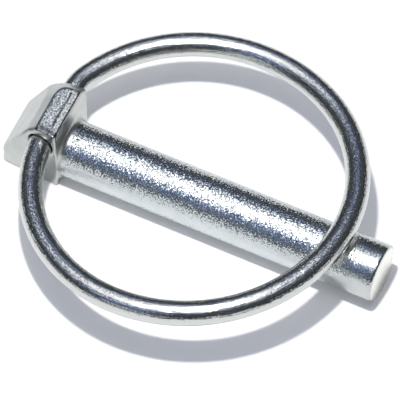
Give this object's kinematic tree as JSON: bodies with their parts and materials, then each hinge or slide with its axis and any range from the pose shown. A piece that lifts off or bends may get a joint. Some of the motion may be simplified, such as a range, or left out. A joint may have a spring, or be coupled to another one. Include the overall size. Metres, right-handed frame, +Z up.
{
  "type": "lynch pin",
  "caption": "Forged steel pin with a wedge-shaped head and a hinged wire ring that closes over the end of the shank.",
  "frame": {"origin": "on the shank's axis, where the plain shank leaves the root fillet in front of the head", "axes": "+X along the shank from head to tip, Y across it along the ring's hinge line, +Z up towards the ring as the pin lies on its flat foot"},
  "size_m": [0.069, 0.0598, 0.0152],
  "materials": {
    "forged_zinc": "bright zinc plated over forged steel, fine grain",
    "wire_zinc": "bright zinc plated over drawn spring wire, smooth"
  },
  "bodies": {
    "pin_body": {"pin": "forged_zinc"},
    "ring_body": {"ring": "wire_zinc"}
  },
  "joints": [
    {"name": "ring_swing", "type": "hinge", "parent": "pin_body", "child": "ring_body", "pos_m": [-0.0042, 0, 0.0052], "axis": [0, -1, 0], "range_deg": [0, 180]}
  ]
}
